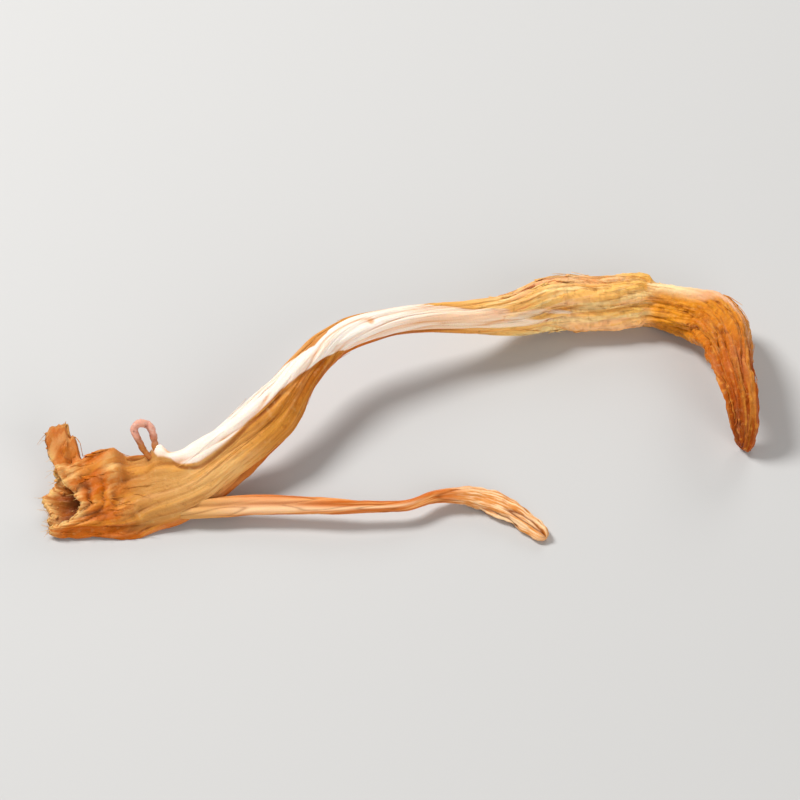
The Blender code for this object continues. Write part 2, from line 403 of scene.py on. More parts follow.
# The white rib along the back edge of the foot, and the groove under it
def ribRelief(angle, place, marks):
    back, front = ivoryEdges(place)
    # marks the groove under the rib, where shade is painted
    marks["underRibShade"] = aroundHump(angle, front + 0.12, 130) * stretch(place, 2.5, 3.1, 5.3, 6)
    rib, groove = aroundHump(angle, (back + front) / 2, 5), aroundHump(angle, front + 0.08, 60)
    return (0.22 * rib - 0.16 * groove) * stretch(place, 2.25, 2.5, 6, 7.5)


# The club's outer layer ends in a ragged step, and a rolled ridge runs on from it round the bend
def bendRelief(angle, place, distance, marks):
    ragged = streakNoise(angle, distance, *stalk["streaks"]["layerEdge"])
    step = smoothStep(place + 0.8 * ragged, 13.86, 14.0) * smoothStep(place, 12, 13)
    ridgeAngle = np.interp(place, stalk["ridgePlaces"], stalk["ridgeAngles"])
    thin = smoothStep(place, 15.1, 15.8)
    rolled = aroundHump(angle, ridgeAngle, 6.5 + 31 * thin) * stretch(place, 13.85, 14.0, 16.2, 17)
    # the rolled ridge also carries a painted highlight
    marks["rolledRidgeAndHighlight"] = rolled * (1 - 0.45 * thin)
    groove = aroundHump(angle, ridgeAngle + 0.62, 40) * smoothStep(place, 14.0, 14.3) * (1 - thin)
    return 0.26 * marks["rolledRidgeAndHighlight"] - 0.12 * groove - 0.18 * step


# Buckles across the inner side of the bend and over the foot
def buckleRelief(angle, place, distance):
    buckle = ridges(streakNoise(angle, distance, *stalk["streaks"]["buckles"]), 2.4)
    innerBend = patch(angle, place, 16.3, 1.1, math.pi, 1.2)
    return (buckle - 0.7) * (0.12 * innerBend + 0.07 * (1 - smoothStep(place, 1.2, 3)))


# Height of the skin above the plain growth, and its marks: how much of each feature each point has
def stalkRelief(angle, twist, place, distance, body, crumple):
    marks = {"ivory": ivoryMask(angle, place, distance)}
    relief, marks["grooves"] = fineRelief(twist, place, distance, crumple)
    marks["pimples"] = pimplesAt(body / stalk["pimpleSpacing"]) * smoothStep(place, 10.6, 12.2)
    relief += stalk["pimples"] * marks["pimples"]
    for name, (*where, height) in stalk["bumps"].items():
        marks[name] = patch(angle, place, *where)
        relief += height * marks[name]
    for name, (*limits, centre, tightness, height) in stalk["rolls"].items():
        marks[name] = aroundHump(angle, centre, tightness) * stretch(place, *limits)
        relief += height * marks[name]
    relief += footRelief(angle, place, distance, marks) + ribRelief(angle, place, marks)
    relief += bendRelief(angle, place, distance, marks) + buckleRelief(angle, place, distance)
    return relief, marks


# How far the scrap of rim at the foot's back stands up
def earLift(angle, distance, body):
    height = stalk["earHeight"] * np.interp(distance, stalk["earDistances"], stalk["earShares"])
    torn = 1 + 0.05 * np.sin(distance * 17 + 1) + 0.08 * noiseAt(body / 0.3)
    return height * torn * np.exp(-np.abs(turnFrom(angle, stalk["earAngle"]) / stalk["earWidth"]) ** 4)


def growStalk():
    tube, ring, side = tubeBlank("stalkSkin", stalk["sides"], stalk["rings"])
    angle = side / stalk["sides"] * math.tau
    shares, lengths = growthLength(stalkSections)
    inside, closing, distance = stalkRings(ring, shares, lengths)
    pushed = distance + rimRecess(angle) * (1 - smoothStep(distance, 0, stalk["tearFades"]))
    along = np.interp(np.maximum(pushed, 0), lengths, shares)
    place = along * lastPlace
    moved = np.minimum(pushed, 0)[:, None]
    centre, outline, normal, size = plainGrowth(stalk, stalkSections, along, angle, moved)
    size[ring == stalk["rings"] - 1] = 0

    body = centre + outline
    twist = angle + 0.035 * distance + 0.3 * np.sin(distance / 6.5)
    crumple = noiseAt(body / 1.3) + 0.5 * noiseAt(body / 0.55)
    relief, marks = stalkRelief(angle, twist, place, distance, body, crumple)
    halfMeasure = sectionsAt(stalkSections, along)[:, 3:5].min(axis=1) / 2
    relief *= np.clip(halfMeasure * size / stalk["slimBelow"], 0, 1)
    ear = earLift(angle, distance, body)

    # inside the rim: a thin wall near the edge, closing to a rough floor
    wall = np.maximum(1 - stalk["wall"] / np.linalg.norm(outline, axis=1), 0.1)
    size = np.where(inside, size * closing * wall, size)
    relief = np.where(inside, 0.18 * crumple * closing, relief)
    relief += 0.5 * stalk["wall"] * hump(distance, 0, 0.12) * np.where(inside, 0, -1)
    places = centre + outline * size[:, None] + normal * relief[:, None]
    places += unit(outline) * (ear * np.where(inside, closing**3, 1))[:, None]
    moveTo(tube, places)

    marks.update(along=along, crumple=crumple, ear=ear)
    paintStalk(tube, angle, place, distance, inside, marks)
    addFlow(tube, twist, distance, stalk["flowRadius"])
    grid = np.empty((stalk["rings"], stalk["sides"], 3))
    grid[ring, side] = places
    closeSkin(tube, seamGap)
    return tube, grid


maskNames = ("along", "crease", "ivory", "cream", "emberAndShade", "hollowShadeAndEarTone", "rolledRidgeAndHighlight", "rosy", "pimples")


# Turns the marks into the masks of the finish
def paintStalk(tube, angle, place, distance, inside, marks):
    # grooves, dents, the knot and the groove under the rib get painted shade through the crease mask
    grooves = marks["grooves"]
    for name in ("dent", "knot", "underRibShade", "foldGrooveShade"):
        grooves = np.maximum(grooves, marks[name])
    # a painted highlight on the flank, which also weakens the painted shade in its grooves
    flank = patch(angle, place, *stalk["flankHighlight"])
    paleAndHighlight = flank + 0.5 * marks["foldTops"] + (1 - smoothStep(place, 0.5, 0.9)) * aroundHump(angle, 0.92, 22)
    for *where, strength in stalk["paleAndHighlightPatches"]:
        paleAndHighlight += strength * patch(angle, place, *where)

    standing = np.clip(marks["ear"] / 1.5, 0, 1)
    tornEdge = hump(distance, 0, np.where(inside, 0.7, 0.55)) * (1 - 0.7 * standing)
    earTops = 0.42 * standing * smoothStep(place + 2 * marks["crumple"], -1, 1.5)
    cream = np.maximum(tornEdge, earTops)
    # deeper orange on the underside and at the inner bend, partly its own colour and partly painted shade
    underside = smoothStep(np.abs(turnFrom(angle, 4.4)), 1.85, 1.45) * (1 - smoothStep(place, 8, 11))
    emberAndShade = np.clip(underside + 0.8 * patch(angle, place, 0.8, 0.8, 1.7, 1.2), 0, 1)
    innerBend = stretch(place, 14.6, 15.6, 17, 18) * aroundHump(angle, 2.9, 1.4)
    marks["crease"] = grooves * (1 - 0.7 * flank)
    # the cream mask holds the real cream edges and the painted highlights
    marks["cream"] = np.maximum(cream, 0.9 * np.clip(paleAndHighlight, 0, 1))
    marks["emberAndShade"] = np.maximum(emberAndShade, 0.8 * innerBend)
    # the standing ear gets a slightly darker tone
    marks["hollowShadeAndEarTone"] = 0.16 * standing
    marks["rosy"] = marks["lowerRoll"] + 0.8 * marks["upperRoll"]
    # inside the hollow: painted shade, deeper away from the rim
    hollow = {"crease": 0.6, "cream": cream, "emberAndShade": 0.7, "hollowShadeAndEarTone": smoothStep(distance, 0.2, 2.2)}
    hollow["along"] = marks["along"]
    for name in maskNames:
        addMask(tube, name, np.where(inside, hollow.get(name, 0), marks[name]))


# Point on the finished skin and the way out of it, at a place and an angle
def onSkin(grid, place, angle):
    rings, sides = grid.shape[:2]
    outer = 1 - (1 - min(place / lastPlace, 0.995)) ** (1 / stalk["crowding"])
    ring = stalk["hollowRings"] + outer * (rings - 1 - stalk["hollowRings"])
    low, side = int(ring), angle / math.tau * sides % sides
    left = int(side)
    right = (left + 1) % sides
    share, turn = ring - low, side - left
    lower = grid[low, left] * (1 - turn) + grid[low, right] * turn
    upper = grid[low + 1, left] * (1 - turn) + grid[low + 1, right] * turn
    lengthwise = grid[min(low + 3, rings - 1), left] - grid[low - 3, left]
    crosswise = grid[low, (left + 4) % sides] - grid[low, left - 4]
    outward = np.cross(crosswise, lengthwise)
    return lower * (1 - share) + upper * share, outward / max(np.linalg.norm(outward), 1e-9)


def joinPieces(pieces, name):
    selectOnly(pieces[0])
    for piece in pieces:
        piece.select_set(True)
    bpy.ops.object.join()
    pieces[0].name = pieces[0].data.name = name
    return pieces[0]


# One mesh with a tube along each path of points and radii in millimetres
def threadsFrom(paths, name, smoothness=3):
    curve = bpy.data.curves.new(name, "CURVE")
    curve.dimensions = "3D"
    curve.bevel_depth = mm
    curve.bevel_resolution = 1
    curve.use_fill_caps = True
    curve.resolution_u = smoothness
    for path in paths:
        spline = curve.splines.new("NURBS")
        spline.points.add(len(path) - 1)
        spline.order_u = 4
        spline.use_endpoint_u = True
        for point, (place, radius) in zip(spline.points, path):
            point.co = (*(float(value) * mm for value in place), 1)
            point.radius = radius
    threads = bpy.data.objects.new(name, curve)
    bpy.context.scene.collection.objects.link(threads)
    selectOnly(threads)
    bpy.ops.object.convert(target="MESH")
    threads = bpy.context.object
    closeSkin(threads, 1e-7)
    return threads


def skinTree(skin):
    tree = kdtree.KDTree(len(skin.data.vertices))
    for number, point in enumerate(skin.data.vertices):
        tree.insert(point.co, number)
    tree.balance()
    return tree


# Gives a small piece the masks of the skin under it, with at least so much cream and some of them cleared
def borrowMasks(piece, skin, tree, cream, cleared):
    nearest = np.array([tree.find(point.co)[1] for point in piece.data.vertices])
    count = len(skin.data.vertices)
    for name in maskNames:
        values = np.empty(count, np.float32)
        skin.data.attributes[name].data.foreach_get("value", values)
        values = values[nearest]
        if name == "cream":
            values = np.maximum(values, cream)
        addMask(piece, name, values * (name not in cleared))
    flow = np.empty(count * 3, np.float32)
    skin.data.attributes["flow"].data.foreach_get("vector", flow)
    layer = piece.data.attributes.new("flow", "FLOAT_VECTOR", "POINT")
    layer.data.foreach_set("vector", flow.reshape(-1, 3)[nearest].ravel())


# Slivers that have come loose from the skin at one end
slivers = {
    "seed": 11,
    "zones": [
        # first and last place, how many, least and most length, most lift, thickness
        (0.6, 2.0, 22, 1.0, 3.0, 0.45, 0.04),
        (2.0, 5.5, 18, 1.5, 4.5, 0.3, 0.035),
        (5.5, 10.5, 14, 1.5, 4.0, 0.25, 0.028),
        (10.5, 14.2, 60, 1.5, 5.5, 0.35, 0.04),
        (14.2, 19.2, 34, 0.8, 3.0, 0.35, 0.04),
    ],
    "angles": (-0.3, 4.3),
    "drift": 0.10,            # how much they turn round the growth on their way
    "ends": (0.5, 19.4),      # none goes past these places
    "points": 8,
    "clearance": 0.1,         # none comes nearer to the floor
}


def growSlivers(grid):
    draw = np.random.default_rng(slivers["seed"])
    paths = []
    for first, last, count, shortest, longest, lift, thickness in slivers["zones"]:
        for _ in range(count):
            place = draw.uniform(first, last)
            angle = draw.uniform(*slivers["angles"])
            length = draw.uniform(shortest, longest) / sectionSpacing * draw.choice((-1, 1))
            drift = draw.normal(0, slivers["drift"])
            rise = lift * draw.uniform(0.1, 1) ** 2
            path = []
            for step in range(slivers["points"]):
                share = step / (slivers["points"] - 1)
                here = np.clip(place + length * share, *slivers["ends"])
                point, outward = onSkin(grid, here, angle + drift * share)
                radius = thickness * (0.2 + 0.6 * math.sin(math.pi * (0.12 + 0.8 * share)))
                path.append((point + outward * (rise * share**3 + radius * 0.3), radius))
            if min(point[2] for point, radius in path) > slivers["clearance"]:
                paths.append(path)
    return threadsFrom(paths, "looseSlivers")


# Narrow shreds of skin that lift at one end
shreds = {
    "seed": 23,
    "zones": [
        # first and last place, how many, least and most length, lift
        (0.5, 1.8, 16, 0.8, 2.0, 0.35),
        (10.6, 14.0, 30, 1.0, 3.0, 0.20),
        (14.2, 19.0, 20, 0.7, 2.0, 0.25),
    ],
    "angles": (-0.2, 4.2),
    "slimness": (0.05, 0.11),     # half width as a share of the length
    "ends": (0.4, 19.4),
    "halfMeasure": 1.9,           # of the growth, which turns a width into an angle
    "clearance": 0.15,
    "thickness": 0.03,
}


# One shred, bent on to the skin, or nothing where it would come too near to the floor
def growShred(grid, number, place, angle, length, width, rise, skew):
    shred = startFrom(bpy.ops.mesh.primitive_grid_add, x_subdivisions=14, y_subdivisions=3, size=2)
    heights = []
    for vertex in shred.data.vertices:
        share, across = (vertex.co.x + 1) / 2, vertex.co.y
        taper = math.sin(math.pi * (0.04 + share * 0.92)) ** 0.6
        ragged = 0.5 * noise.noise((share * 6, across * 3, number))
        here = np.clip(place + length * share / sectionSpacing, *shreds["ends"])
        sideways = across * width * taper * (1 + ragged) + skew * share**2 * width
        point, outward = onSkin(grid, here, angle + sideways / shreds["halfMeasure"])
        point = point + outward * (-0.02 + 0.05 * share + rise * share**3 + 0.05 * ragged)
        heights.append(point[2])
        vertex.co = Vector(point) * mm
    if min(heights) < shreds["clearance"]:
        bpy.data.objects.remove(shred)
        return None
    solid = shred.modifiers.new("thickness", "SOLIDIFY")
    solid.thickness = shreds["thickness"] * mm
    solid.offset = 0
    selectOnly(shred)
    bpy.ops.object.modifier_apply(modifier=solid.name)
    bpy.ops.object.shade_smooth()
    return shred


def growShreds(grid):
    draw = np.random.default_rng(shreds["seed"])
    made = []
    for first, last, count, shortest, longest, lift in shreds["zones"]:
        for number in range(count):
            place, angle = draw.uniform(first, last), draw.uniform(*shreds["angles"])
            length = draw.uniform(shortest, longest)
            width = length * draw.uniform(*shreds["slimness"])
            rise, skew = lift * draw.uniform(0.2, 1), draw.normal(0, 1.0)
            length *= draw.choice((-1, 1))
            made.append(growShred(grid, number, place, angle, length, width, rise, skew))
    return joinPieces([shred for shred in made if shred], "skinShreds")


# Fine pale threads and crumbs round the torn rim
rimFray = {
    "seed": 5,
    "threads": 70,
    "threadLength": (0.15, 0.65),
    "threadRadius": 0.016,
    "threadPoints": 6,
    "threadRoot": 0.12,       # share of a thread that is in the rim
    "threadFloor": 0.05,      # lowest height of one
    "crumbs": 48,
    "crumbSize": (0.04, 0.13),
    "crumbStretch": (0.45, 1.4),
    "crumbRings": (12, 6),    # first ring with crumbs, and rings with some past the rim
}


def growRimThreads(grid):
    draw = np.random.default_rng(rimFray["seed"])
    rim = grid[stalk["hollowRings"]]
    middle = rim.mean(axis=0)
    paths = []
    for _ in range(rimFray["threads"]):
        start = rim[draw.integers(stalk["sides"])]
        outward = (start - middle) / np.linalg.norm(start - middle)
        forward = np.array((-1, 0, 0)) * draw.uniform(0.4, 1)
        aim = forward + outward * draw.uniform(-0.5, 0.9) + draw.normal(0, 0.3, 3)
        aim *= draw.uniform(*rimFray["threadLength"]) / np.linalg.norm(aim)
        bend = draw.normal(0, 0.22, 3)
        radius = rimFray["threadRadius"] * draw.uniform(0.7, 1.4)
        path = []
        for step in range(rimFray["threadPoints"]):
            share = step / (rimFray["threadPoints"] - 1)
            point = start + aim * (share - rimFray["threadRoot"]) + bend * share**2
            point[2] = max(point[2], rimFray["threadFloor"])
            path.append((point, radius * (1 - 0.6 * share)))
        paths.append(path)
    return threadsFrom(paths, "rimThreads")


def growRimCrumbs(grid):
    draw = np.random.default_rng(rimFray["seed"] + 1)
    first, beyond = rimFray["crumbRings"]
    crumbs = []
    for number in range(rimFray["crumbs"]):
        ring = int(draw.triangular(first, stalk["hollowRings"], stalk["hollowRings"] + beyond))
        place = grid[ring, draw.integers(stalk["sides"])]
        size = draw.uniform(*rimFray["crumbSize"])
        crumb = startFrom(bpy.ops.mesh.primitive_ico_sphere_add, subdivisions=2, radius=size * mm)
        stretches = draw.uniform(*rimFray["crumbStretch"], 3)
        for vertex in crumb.data.vertices:
            bulge = 1 + 0.8 * noise.noise(vertex.co / (size * mm) * 1.9 + Vector((number, 0, 0)))
            vertex.co = Vector(value * share for value, share in zip(vertex.co * bulge, stretches))
            vertex.co += Vector((place[0], place[1], max(place[2], size * 0.9))) * mm
        bpy.ops.object.shade_smooth()
        crumbs.append(crumb)
    return joinPieces(crumbs, "rimCrumbs")


# The curled thread that stands at the foot's back edge, in millimetres
curl = {
    "route": [
        # point, radius
        ((-17.0, -7.05, 2.8), 0.26), ((-17.1, -6.75, 3.15), 0.27), ((-17.28, -6.4, 3.6), 0.25),
        ((-17.38, -6.05, 4.0), 0.25), ((-17.42, -5.75, 4.4), 0.27), ((-17.65, -5.5, 4.7), 0.28),
        ((-18.05, -5.35, 4.87), 0.29), ((-18.5, -5.35, 4.86), 0.29), ((-18.8, -5.55, 4.6), 0.28),
        ((-18.72, -5.85, 4.28), 0.25), ((-18.45, -6.1, 3.95), 0.24), ((-18.25, -6.4, 3.58), 0.23),
        ((-17.98, -6.7, 3.2), 0.22), ((-17.6, -6.95, 2.92), 0.22), ((-17.3, -7.15, 2.65), 0.2),
    ],
    "roughness": 0.06,
    # lower down the thread is painted brown, partly its own tone and partly painted shade
    "brownBelow": 3.6,        # heights between which its pink turns brown
    "pinkAbove": 4.5,
}


def growCurl():
    piece = threadsFrom([curl["route"]], "curledThread", smoothness=12)
    bpy.ops.object.mode_set(mode="EDIT")
    bpy.ops.mesh.select_all(action="SELECT")
    bpy.ops.mesh.subdivide(number_cuts=2, smoothness=0.6)
    bpy.ops.object.mode_set(mode="OBJECT")
    for vertex in piece.data.vertices:
        bumps = noise.noise(vertex.co / mm * 3) + 0.6 * noise.noise(vertex.co / mm * 8)
        vertex.co += vertex.normal * bumps * curl["roughness"] * mm
    bpy.ops.object.shade_smooth()
    return piece


# The side strand, in millimetres
strand = {
    "sides": 80,
    "rings": 520,
    "endBegins": 0.965,
    "lumps": 0.10,
    "lumpSpacing": 2.6,
    "creases": (1.1, 5, 11),      # cells round it, length of a streak, seed
    "fibres": (4.5, 2.4, 12),
    "split": 0.16,                # depth of the groove that parts it lengthwise
    "splitAngle": 1.45,
    "twist": 0.12,                # radians for each millimetre of its length
    "paleAngle": 2.15,
    "blushAngle": 1.1,
}


def growStrand():
    tube, ring, side = tubeBlank("strandSkin", strand["sides"], strand["rings"])
    angle = side / strand["sides"] * math.tau
    shares, lengths = growthLength(strandSections)
    along = ring / (strand["rings"] - 1)
    distance = np.interp(along, shares, lengths)
    place = along * (len(strandSections) - 1)
    centre, outline, normal, size = plainGrowth(strand, strandSections, along, angle)
    size[(ring == 0) | (ring == strand["rings"] - 1)] = 0

    body = centre + outline
    twist = angle + strand["twist"] * distance
    shrivel = smoothStep(place, 7.0, 7.9)
    crease = ridges(streakNoise(twist, distance, *strand["creases"]), 2.8)
    fibre = streakNoise(twist, distance, *strand["fibres"])
    crumple = noiseAt(body / 0.9) + 0.5 * noiseAt(body / 0.4)
    split = aroundHump(angle, strand["splitAngle"], 14) * (1 - smoothStep(place, 5.4, 6.6))
    relief = (0.05 + 0.19 * shrivel) * (crease - 0.8) + 0.022 * fibre + (0.02 + 0.10 * shrivel) * crumple
    relief = (relief - strand["split"] * split) * np.clip(size, 0, 1)
    moveTo(tube, centre + outline * size[:, None] + normal * relief[:, None])

    narrow = smoothStep(place, 3.8, 4.8)
    # a pale line along the strand, painted as a highlight
    paleAndHighlight = aroundHump(angle, strand["paleAngle"], 9 + 22 * narrow) * (1 - smoothStep(place, 5.8, 6.8))
    # the crease mask paints shade in the creases and in the lengthwise split
    addMask(tube, "crease", np.maximum(1 - crease, 0.8 * split))
    addMask(tube, "shrivel", shrivel)
    addMask(tube, "paleAndHighlight", paleAndHighlight)
    addMask(tube, "blush", aroundHump(angle, strand["blushAngle"], 5) * (1 - narrow))
    addMask(tube, "root", 1 - smoothStep(place, 1.9, 3.4))
    addFlow(tube, twist, distance, 1.0)
    closeSkin(tube, seamGap)
    return tube


# Colours of the finishes
tones = {
    "ivory": "FFF0E2",
    "ivoryWarm": "FBE0C2",
    # painted shade for the white strip's grooves
    "ivoryShade": "DE9A5C",
    "peach": "F4BC90",
    # cream of the torn edges, also used for painted highlights
    "cream": "ECBA74",
    "blush": "F2B27C",
    "pink": "E2A48E",
    "pinkShade": "A85A42",
    # brown of the thread's lower part, partly painted shade
    "threadBrown": "B8723A",
    "lumps": "C46206",
    "panel": "C28640",
    "panelPale": "D8A05C",
    "goldFibre": "F0A440",
    "flank": "CC8430",
    "flankDeep": "B25C08",
    "goldEdge": "E09C3C",
    "club": "F8BC68",
    "clubGold": "FFC666",
    "clubPale": "FFE09E",
    "clubPink": "FCBE8C",
    "apricot": "E4921C",
    "tipOrange": "AA4800",
    "tipDeep": "A04200",
    # tones of the painted highlight on the ridge at the bend
    "gilt": "FBDAA4",
    "giltPink": "F0B88E",
    # deep orange, partly painted shade on the underside, at the inner bend and in the hollow
    "emberAndShade": "C86208",
    "strandOrange": "CE6E28",
    "strandTan": "F4AC66",
    "shrivelCream": "FCD0A0",
    "shrivelTan": "DC8E46",
    # tones of painted shade in grooves and in the hollow; the brown also draws thin dark lines and mottling
    "grooveBrown": "843C08",
    "grooveRed": "561A04",
}

# Patterns on Object coordinates: texture, scale and detail
patterns = {
    "blotch": ("TexNoise", 420, 4.0),
    "cloud": ("TexNoise", 900, 3.0),
    "mottle": ("TexNoise", 1900, 3.0),
    "threadGrain": ("TexNoise", 4200, 2.0),
    "grain": ("TexNoise", 8500, 3.0),
    "pits": ("TexVoronoi", 3200, 0.0),
}

fleshSoftness = {
    "Subsurface Weight": 0.15,
    "Subsurface Radius": (1.0, 0.45, 0.18),
    "Subsurface Scale": 0.0005,
    "Specular IOR Level": 0.25,
    "Specular Tint": (1.0, 0.76, 0.5, 1),
}


# A tone as the shader's linear colour
def linear(name):
    parts = [int(tones[name][place:place + 2], 16) / 255 for place in (0, 2, 4)]
    colour = [part / 12.92 if part <= 0.04045 else ((part + 0.055) / 1.055) ** 2.4 for part in parts]
    return (*colour, 1)


def newMaterial(name):
    material = bpy.data.materials.new(name)
    material.use_nodes = True
    return material, material.node_tree


# Gives each of a node's inputs a socket, a value or the colour of a named tone
def feed(node, inputs):
    for name, source in inputs.items():
        if isinstance(source, bpy.types.NodeSocket):
            node.id_data.links.new(source, node.inputs[name])
        else:
            node.inputs[name].default_value = linear(source) if source in tones else source


def addNode(tree, kind, inputs=(), **settings):
    node = tree.nodes.new("ShaderNode" + kind)
    for name, value in settings.items():
        setattr(node, name, value)
    feed(node, dict(inputs))
    return node


def maths(operation, first, second):
    return addNode(first.id_data, "Math", {0: first, 1: second}, operation=operation).outputs[0]


def times(first, second):
    return maths("MULTIPLY", first, second)


def plus(first, second):
    return maths("ADD", first, second)


def mapRange(value, fromLow, fromHigh, toLow=0.0, toHigh=1.0):
    inputs = {"Value": value, "From Min": fromLow, "From Max": fromHigh, "To Min": toLow, "To Max": toHigh}
    return addNode(value.id_data, "MapRange", inputs, interpolation_type="SMOOTHSTEP").outputs["Result"]


# A share of the second colour over the first; a colour is a socket or the name of a tone
def tint(share, first, second):
    return addNode(share.id_data, "Mix", {0: share, 6: first, 7: second}, data_type="RGBA").outputs[2]


# One tint after another over a colour, each as its share and its colour
def tinted(colour, *tints):
    for share, over in tints:
        colour = tint(share, colour, over)
    return colour


def ramp(value, stops):
    node = addNode(value.id_data, "ValToRGB", {0: value})
    elements = node.color_ramp.elements
    while len(elements) < len(stops):
        elements.new(0.5)
    for element, (position, tone) in zip(elements, stops):
        element.position = position
        element.color = linear(tone)
    return node.outputs[0]


# Node group: streaks that follow the growth, in two sizes, from 0 to 1
def makeFibreGroup():
    group = bpy.data.node_groups.new("growthFibres", "ShaderNodeTree")
    for name, way, kind in (("Flow", "INPUT", "Vector"), ("Fineness", "INPUT", "Float"),
                            ("Streaks", "OUTPUT", "Float"), ("Fine", "OUTPUT", "Float")):
        group.interface.new_socket(name, in_out=way, socket_type="NodeSocket" + kind)
    start = group.nodes.new("NodeGroupInput")
    end = group.nodes.new("NodeGroupOutput")
    for output, stretched, detail in (("Streaks", (1.0, 1.0, 0.12), 3.0), ("Fine", (3.4, 3.4, 0.35), 2.0)):
        mapping = addNode(group, "Mapping", {"Vector": start.outputs["Flow"], "Scale": stretched})
        inputs = {"Vector": mapping.outputs[0], "Scale": start.outputs["Fineness"], "Detail": detail}
        feed(end, {output: addNode(group, "TexNoise", inputs).outputs["Fac"]})
    return group


def fibres(tree, group, fineness):
    flow = addNode(tree, "Attribute", attribute_name="flow").outputs["Vector"]
    node = addNode(tree, "Group", {"Flow": flow, "Fineness": fineness}, node_tree=group)
    return node.outputs["Streaks"], node.outputs["Fine"]


def patternValue(tree, name):
    kind, scale, detail = patterns[name]
    where = addNode(tree, "TexCoord").outputs["Object"]
    return addNode(tree, kind, {"Vector": where, "Scale": scale, "Detail": detail}).outputs[0]


def maskValues(tree, names):
    return {name: addNode(tree, "Attribute", attribute_name=name).outputs["Fac"] for name in names}


def setShader(tree, colour, roughness, height, strength, distance):
    bump = addNode(tree, "Bump", {"Height": height, "Strength": strength, "Distance": distance})
    inputs = {"Base Color": colour, "Roughness": roughness, "Normal": bump.outputs[0]}
    feed(tree.nodes["Principled BSDF"], {**inputs, **fleshSoftness})


# The stalk's own colour from its foot to its tip, with deeper orange on its underside, at its inner bend and
# in the hollow that is partly its own colour and partly painted shade
def bodyColour(masks, blotch):
    body = ramp(masks["along"], [
        (0.0, "lumps"), (0.07, "lumps"), (0.105, "panel"), (0.17, "panelPale"), (0.24, "flank"),
        (0.315, "flankDeep"), (0.345, "flank"), (0.39, "goldEdge"), (0.54, "club"), (0.63, "club"),
        (0.69, "clubGold"), (0.71, "apricot"), (0.79, "apricot"), (0.85, "tipOrange"), (1.0, "tipDeep"),
    ])
    return tint(times(masks["emberAndShade"], mapRange(blotch, 0.3, 0.6, 0.6, 1.0)), body, "emberAndShade")


# Single fibres differ in tone, in their range of the noise, and in strength off the club and on it
def fibreColour(masks, colour, onClub, streaks, broad, hair):
    for tone, kind, low, high, offClub, full in (
        ("goldFibre", streaks, 0.5, 0.66, 0.45, 0.0),
        ("clubPale", streaks, 0.44, 0.62, 0.0, 0.9),
        ("clubPink", hair, 0.5, 0.66, 0.1, 0.6),
        ("flankDeep", broad, 0.50, 0.36, 0.35, 0.15),
    ):
        share = times(mapRange(kind, low, high), mapRange(onClub, 0.0, 1.0, offClub, full))
        colour = tint(share, colour, tone)
    return tint(times(masks["rosy"], 0.8), colour, "clubPink")


# Painted shade in the grooves, thin dark lines, mottling, and a painted highlight on the pimples' tops with
# painted shade in the gaps between them
def grooveColour(masks, colour, onClub, fine, mottle):
    along, pimples = masks["along"], masks["pimples"]
    creaseShade = tint(mapRange(along, 0.06, 0.12), "grooveRed", "grooveBrown")
    return tinted(
        colour,
        # painted shade in the creases, darkest red near the foot
        (times(mapRange(masks["crease"], 0.38, 0.98), mapRange(onClub, 0.0, 1.0, 0.75, 0.4)), creaseShade),
        (times(mapRange(fine, 0.40, 0.30), mapRange(along, 0.25, 0.5, 0.2, 0.45)), "grooveBrown"),
        (mapRange(mottle, 0.42, 0.28, 0.0, 0.3), "grooveBrown"),
        (mapRange(mottle, 0.56, 0.74, 0.0, 0.12), "clubPale"),
        (times(mapRange(pimples, 0.45, 0.8), mapRange(along, 0.52, 0.6, 0.0, 0.4)), "goldFibre"),
        (times(mapRange(pimples, 0.3, 0.0), mapRange(along, 0.52, 0.6, 0.0, 0.2)), "grooveBrown"),
    )


# Cream torn edges and pale patches, the patches partly painted highlights, and a painted highlight on the
# ridge at the bend
def edgeColour(masks, colour, streaks, fine):
    ridgeHighlightTone = tint(mapRange(masks["along"], 0.72, 0.76), "gilt", "giltPink")
    return tinted(
        colour,
        (times(masks["cream"], mapRange(fine, 0.38, 0.58, 0.25, 1.0)), "cream"),
        (times(mapRange(masks["rolledRidgeAndHighlight"], 0.2, 0.7), mapRange(streaks, 0.3, 0.5, 0.6, 1.0)), ridgeHighlightTone),
    )


# The white strip: ivory, warmer towards the club, with peach streaks and painted shade in its grooves
def ivoryColour(masks, broad):
    along = masks["along"]
    return tinted(
        tint(mapRange(along, 0.38, 0.5), "ivory", "ivoryWarm"),
        (times(mapRange(broad, 0.48, 0.62), mapRange(along, 0.26, 0.36, 0.12, 0.6)), "peach"),
        (mapRange(masks["crease"], 0.35, 0.95, 0.0, 0.85), "ivoryShade"),
    )


